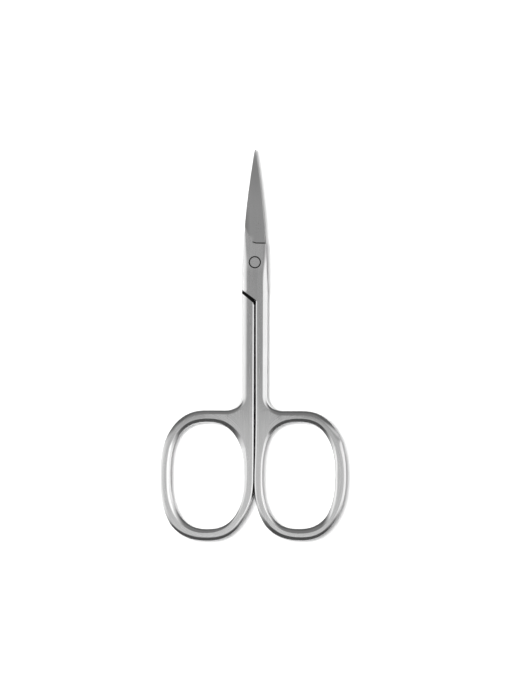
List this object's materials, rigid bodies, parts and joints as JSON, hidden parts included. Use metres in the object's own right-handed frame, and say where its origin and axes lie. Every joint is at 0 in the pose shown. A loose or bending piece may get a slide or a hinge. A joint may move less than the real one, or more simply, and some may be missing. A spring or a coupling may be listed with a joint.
{
  "type": "nail scissors",
  "caption": "Nail scissors with straight, tapering ground blades, a flush riveted lap joint, slim flat shanks and two tall oval finger bows, in satin steel.",
  "frame": {"origin": "on the rivet's axis, in the plane that the closed scissors rest on", "axes": "+X to the right of the face that shows the rivet head, +Y from the bows towards the blade tips, +Z out of that face, away from the resting plane"},
  "size_m": [0.0451, 0.0948, 0.003],
  "materials": {
    "front_steel": "satin brushed stainless steel, ground blade",
    "back_steel": "satin brushed stainless steel, ground blade",
    "rivet_steel": "satin stainless steel, ground flush"
  },
  "bodies": {
    "back_half": {"back_half": "back_steel", "pivot_rivet": "rivet_steel"},
    "front_half": {"front_half": "front_steel"}
  },
  "joints": [
    {"name": "pivot", "type": "hinge", "parent": "back_half", "child": "front_half", "pos_m": [0, 0, 0.0015], "axis": [0, 0, 1], "range_deg": [0, 130]}
  ]
}
